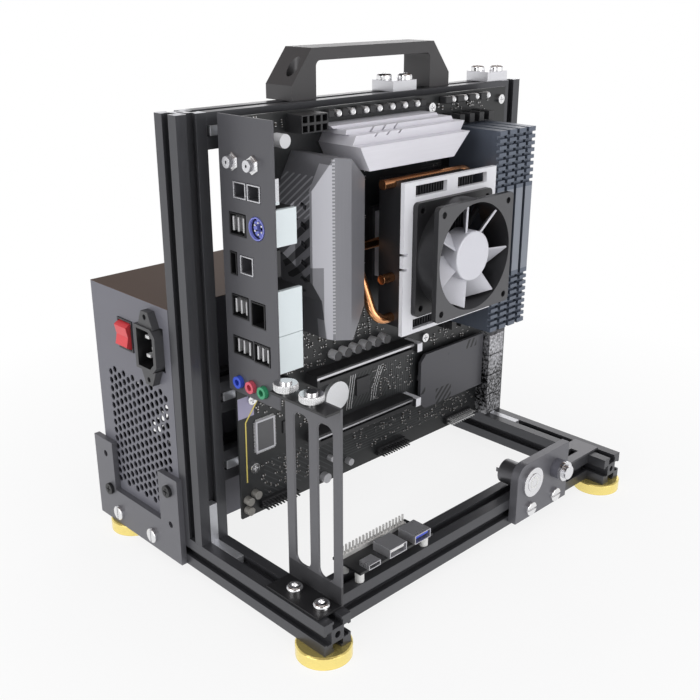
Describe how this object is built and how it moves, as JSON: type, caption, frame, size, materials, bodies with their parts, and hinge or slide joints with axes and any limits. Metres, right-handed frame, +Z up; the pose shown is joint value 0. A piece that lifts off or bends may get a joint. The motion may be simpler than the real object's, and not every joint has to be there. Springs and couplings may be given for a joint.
{
  "type": "open air test bench",
  "caption": "Open computer frame of black slotted aluminium rails on brass feet, holding a bare motherboard with fan cooler, memory, a mains supply and front push buttons.",
  "frame": {"origin": "centre of the bounding box's bottom, on the plane of the feet", "axes": "+X to the right seen from the front, +Y to the back, +Z up"},
  "size_m": [0.313, 0.231, 0.3195],
  "materials": {
    "black_rail": "black anodised",
    "zinc": "zinc plated",
    "brass": "polished brass",
    "black_paint": "black powder coat",
    "silver": "satin silver",
    "bright_steel": "bright plated",
    "black_steel": "black oxide",
    "grey_case": "dark grey paint",
    "black_plastic": "moulded",
    "grey_plate": "satin grey",
    "circuit_board": "black solder mask",
    "port_metal": "nickel shells",
    "sink_grey": "grey anodised",
    "sink_white": "silver white",
    "spreader": "slate blue grey",
    "copper": "copper",
    "white_paint": "white",
    "fan_grey": "moulded",
    "fan_white": "moulded",
    "white_plastic": "moulded",
    "red_plastic": "moulded",
    "dark_fins": "black anodised"
  },
  "bodies": {
    "bench": {"left_rail": "black_rail", "right_rail": "black_rail", "front_rail": "black_rail", "rear_base_rail": "black_rail", "left_upright": "black_rail", "right_upright": "black_rail", "top_rail": "black_rail", "middle_rail": "black_rail", "lower_rail": "black_rail", "slot_hardware": "zinc", "corner_plate": "zinc", "feet": "brass", "handle": "black_paint", "top_clips": "silver", "dome_screws": "bright_steel", "slotted_screws": "bright_steel", "black_screws": "black_steel", "psu_case": "grey_case", "psu_cover": "grey_case", "psu_inlet": "black_plastic", "rocker_bezel": "black_plastic", "psu_fan_frame": "black_plastic", "psu_bracket": "grey_plate", "motherboard": "circuit_board", "board_standoffs": "zinc", "board_screws": "bright_steel", "io_shield": "grey_plate", "io_ports": "port_metal", "left_heatsink": "sink_grey", "top_heatsink": "sink_white", "power_sockets": "black_plastic", "memory_slots": "black_plastic", "memory_modules": "spreader", "pcie_slots": "black_plastic", "m2_cover": "sink_grey", "coin_cell": "bright_steel", "board_parts": "black_plastic", "pin_headers": "black_plastic", "sata_ports": "black_plastic", "cooler_base": "sink_white", "heat_pipes": "copper", "cooling_fins": "dark_fins", "cooler_frame": "white_paint", "fan_frame": "fan_grey", "gpu_bracket": "grey_plate", "thumb_screws": "bright_steel", "usb_board": "circuit_board", "usb_standoffs": "white_plastic", "usb_ports": "port_metal", "usb_tongues": "white_plastic", "button_plate": "grey_plate", "power_button_body": "bright_steel", "reset_button_body": "bright_steel"},
    "cooler_rotor": {"fan_rotor": "fan_white"},
    "supply_rotor": {"psu_fan_rotor": "black_plastic"},
    "switch_rocker": {"rocker": "red_plastic"},
    "power_cap": {"power_button_cap": "bright_steel"},
    "reset_cap": {"reset_button_cap": "bright_steel"}
  },
  "joints": [
    {"name": "cooler_fan_spin", "type": "hinge", "parent": "bench", "child": "cooler_rotor", "pos_m": [0.0045, -0.0705, 0.2003], "axis": [0, 1, 0], "continuous": true},
    {"name": "supply_fan_spin", "type": "hinge", "parent": "bench", "child": "supply_rotor", "pos_m": [-0.08, 0.0895, 0.103], "axis": [0, 1, 0], "continuous": true},
    {"name": "rocker_tilt", "type": "hinge", "parent": "bench", "child": "switch_rocker", "pos_m": [-0.1484, 0.0694, 0.1504], "axis": [0, 1, 0], "range_deg": [-11, 11]},
    {"name": "power_push", "type": "slide", "parent": "bench", "child": "power_cap", "axis": [0, 1, 0], "range_m": [0, 0.002], "stiffness_N_per_m": 800},
    {"name": "reset_push", "type": "slide", "parent": "bench", "child": "reset_cap", "axis": [0, 1, 0], "range_m": [0, 0.002], "stiffness_N_per_m": 600}
  ]
}
